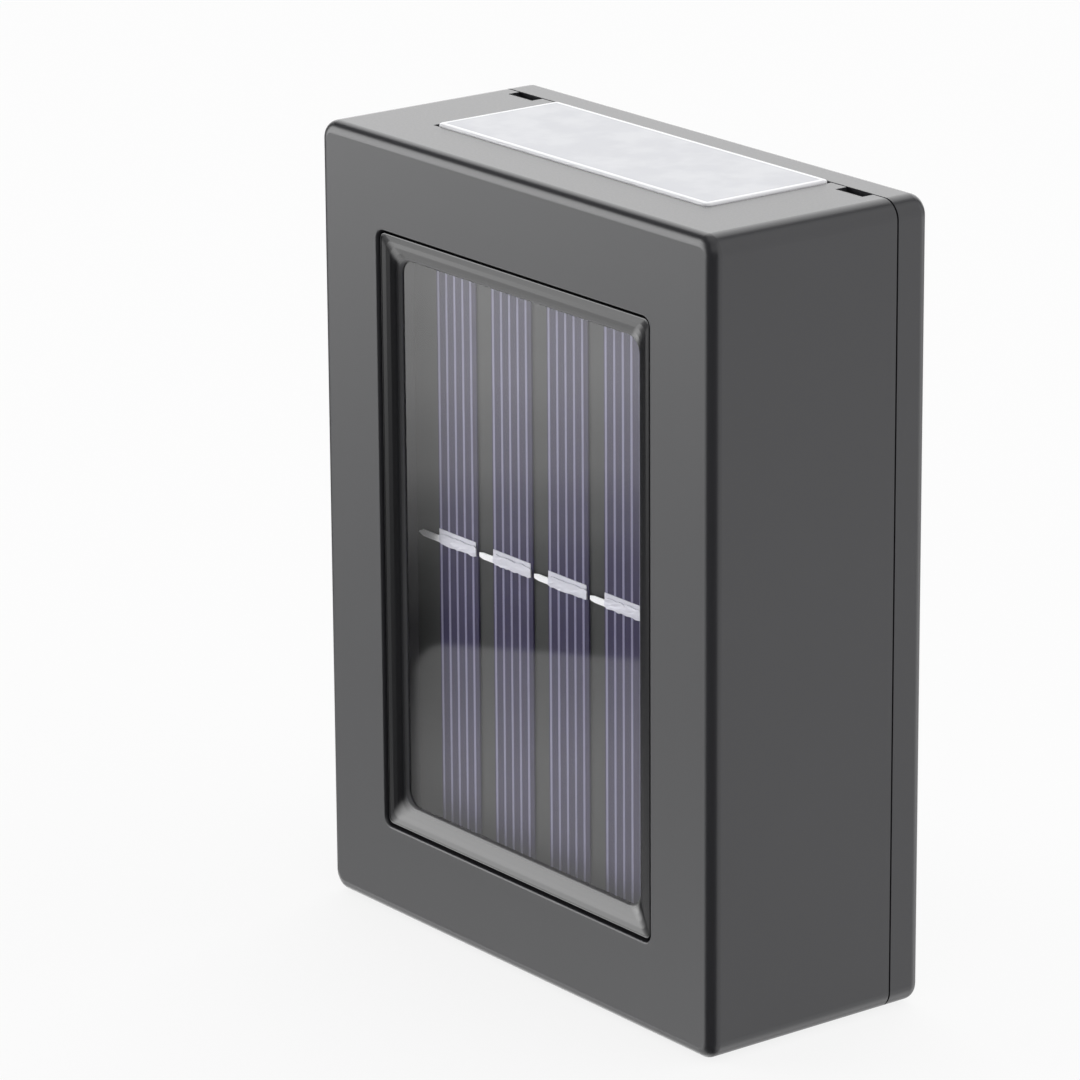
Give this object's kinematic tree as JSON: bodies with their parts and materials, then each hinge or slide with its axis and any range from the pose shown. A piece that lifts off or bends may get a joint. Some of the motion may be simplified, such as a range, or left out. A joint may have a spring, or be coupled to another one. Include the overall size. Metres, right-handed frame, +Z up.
{
  "type": "solar fence light",
  "caption": "Box-shaped solar fence light with a panel window in front and a frosted lens at each end, hung on two keyholes.",
  "frame": {"origin": "centre of the flat rear face, which lies on the fence or wall", "axes": "+X right as seen from the front, +Y into the wall, +Z up"},
  "size_m": [0.08, 0.034, 0.1056],
  "materials": {
    "casing": "fine moulded grain",
    "bezel": "gloss",
    "pane": "clear, gloss",
    "panel_board": "gloss",
    "cell": "satin",
    "silver_print": "matt print",
    "solder_pad": "satin",
    "ribbon": "tinned",
    "lens": "frosted",
    "foam": "matt",
    "seal": "matt",
    "bare_steel": "plated",
    "sleeve": "plain, gloss",
    "holder": "matt",
    "circuit_board": "solder mask",
    "screw_steel": "zinc plated",
    "switch_plastic": "matt",
    "plunger_plastic": "matt",
    "button_rubber": "matt",
    "chip": "matt",
    "ferrite": "matt",
    "copper": "enamelled",
    "capacitor_can": "satin",
    "lamp_board": "white solder mask",
    "led": "phosphor",
    "red_lead": "satin",
    "black_lead": "satin",
    "white_lead": "satin"
  },
  "bodies": {
    "casing": {"front_shell": "casing", "rear_cover": "casing", "rear_seal": "seal", "window_bezel": "bezel", "window_pane": "pane", "solar_board": "panel_board", "solar_cells": "cell", "cell_finger_lines": "silver_print", "cell_pads": "solder_pad", "cell_ribbons": "ribbon", "top_lens": "lens", "bottom_lens": "lens", "top_lens_seal": "foam", "bottom_lens_seal": "foam", "battery_can": "bare_steel", "battery_sleeve": "sleeve", "battery_holder": "holder", "contact_plate": "bare_steel", "spring_plate": "bare_steel", "battery_spring": "bare_steel", "main_board": "circuit_board", "fixing_screws": "screw_steel", "switch_case": "switch_plastic", "button_seal": "seal", "driver_chip": "chip", "inductor_core": "ferrite", "inductor_winding": "copper", "capacitor": "capacitor_can", "resistors": "chip", "top_lamp_board": "lamp_board", "bottom_lamp_board": "lamp_board", "top_leds": "led", "bottom_leds": "led", "panel_lead_red": "red_lead", "panel_lead_black": "black_lead", "battery_lead_red": "red_lead", "battery_lead_black": "black_lead", "top_lamp_leads": "white_lead", "bottom_lamp_leads": "white_lead"},
    "button": {"button_cap": "button_rubber", "switch_plunger": "plunger_plastic"}
  },
  "joints": [
    {"name": "button_press", "type": "slide", "parent": "casing", "child": "button", "axis": [0, -1, 0], "range_m": [0, 0.0015], "stiffness_N_per_m": 900, "springref_m": -0.0006}
  ]
}
